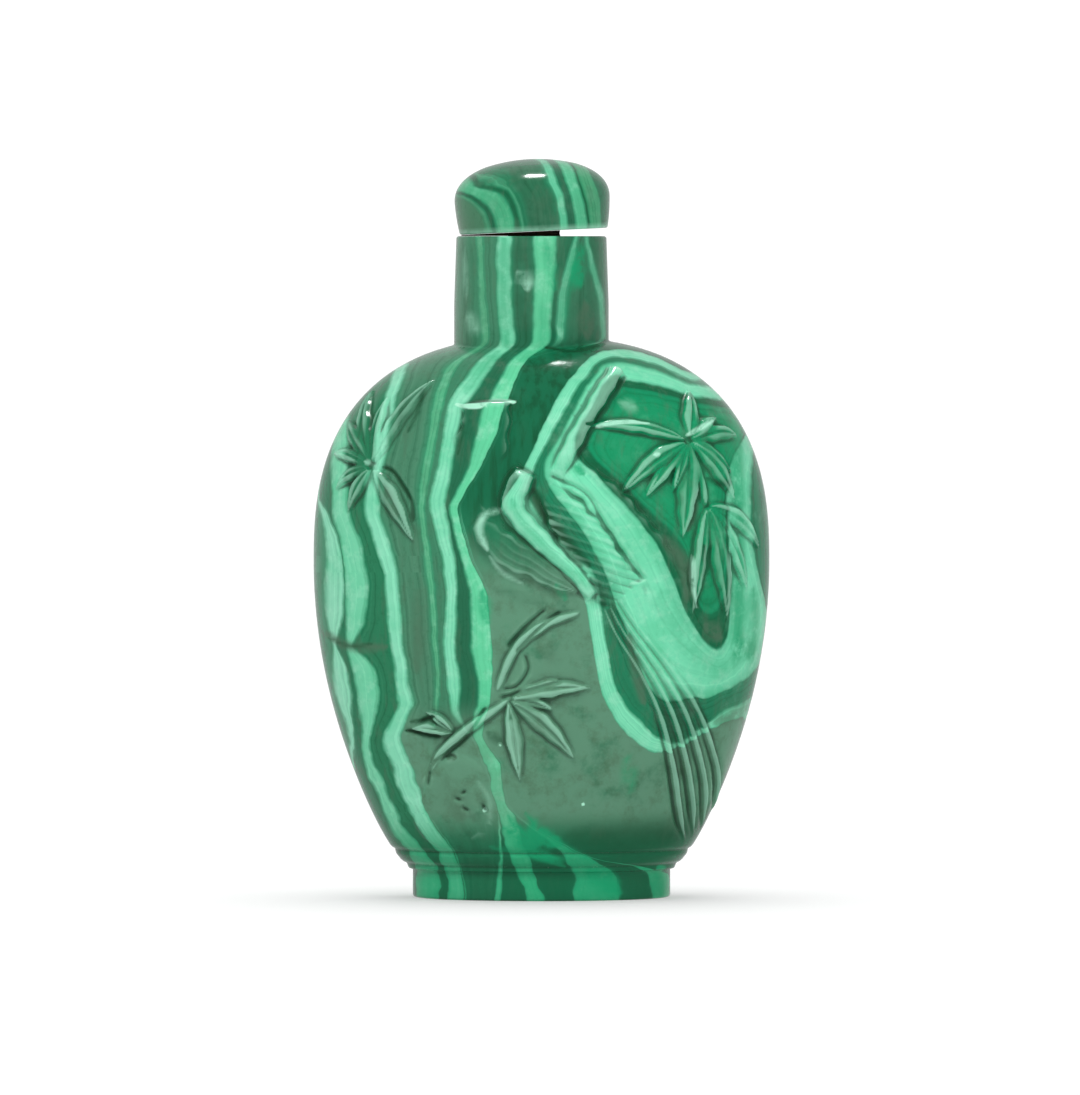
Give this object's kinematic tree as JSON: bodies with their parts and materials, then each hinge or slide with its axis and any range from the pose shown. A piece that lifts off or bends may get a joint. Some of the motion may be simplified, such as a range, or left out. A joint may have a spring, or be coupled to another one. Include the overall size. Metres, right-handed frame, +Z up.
{
  "type": "snuff bottle",
  "caption": "Carved malachite snuff bottle: flattened hollow body on an oval foot, round neck, bird and bamboo in low relief, domed stopper on a cork.",
  "frame": {"origin": "under the middle of the foot, on the surface the bottle stands on", "axes": "+Z up through the neck, +X to the right as the carved face is seen, -Y out of the carved face"},
  "size_m": [0.0406, 0.0276, 0.0658],
  "materials": {
    "malachite": "polished, banded light and dark green",
    "cap_malachite": "polished, banded light and dark green",
    "cork": "matte, dark with age"
  },
  "bodies": {
    "root": {"bottle": "malachite", "stopper_cap": "cap_malachite", "stopper_cork": "cork"}
  },
  "joints": []
}
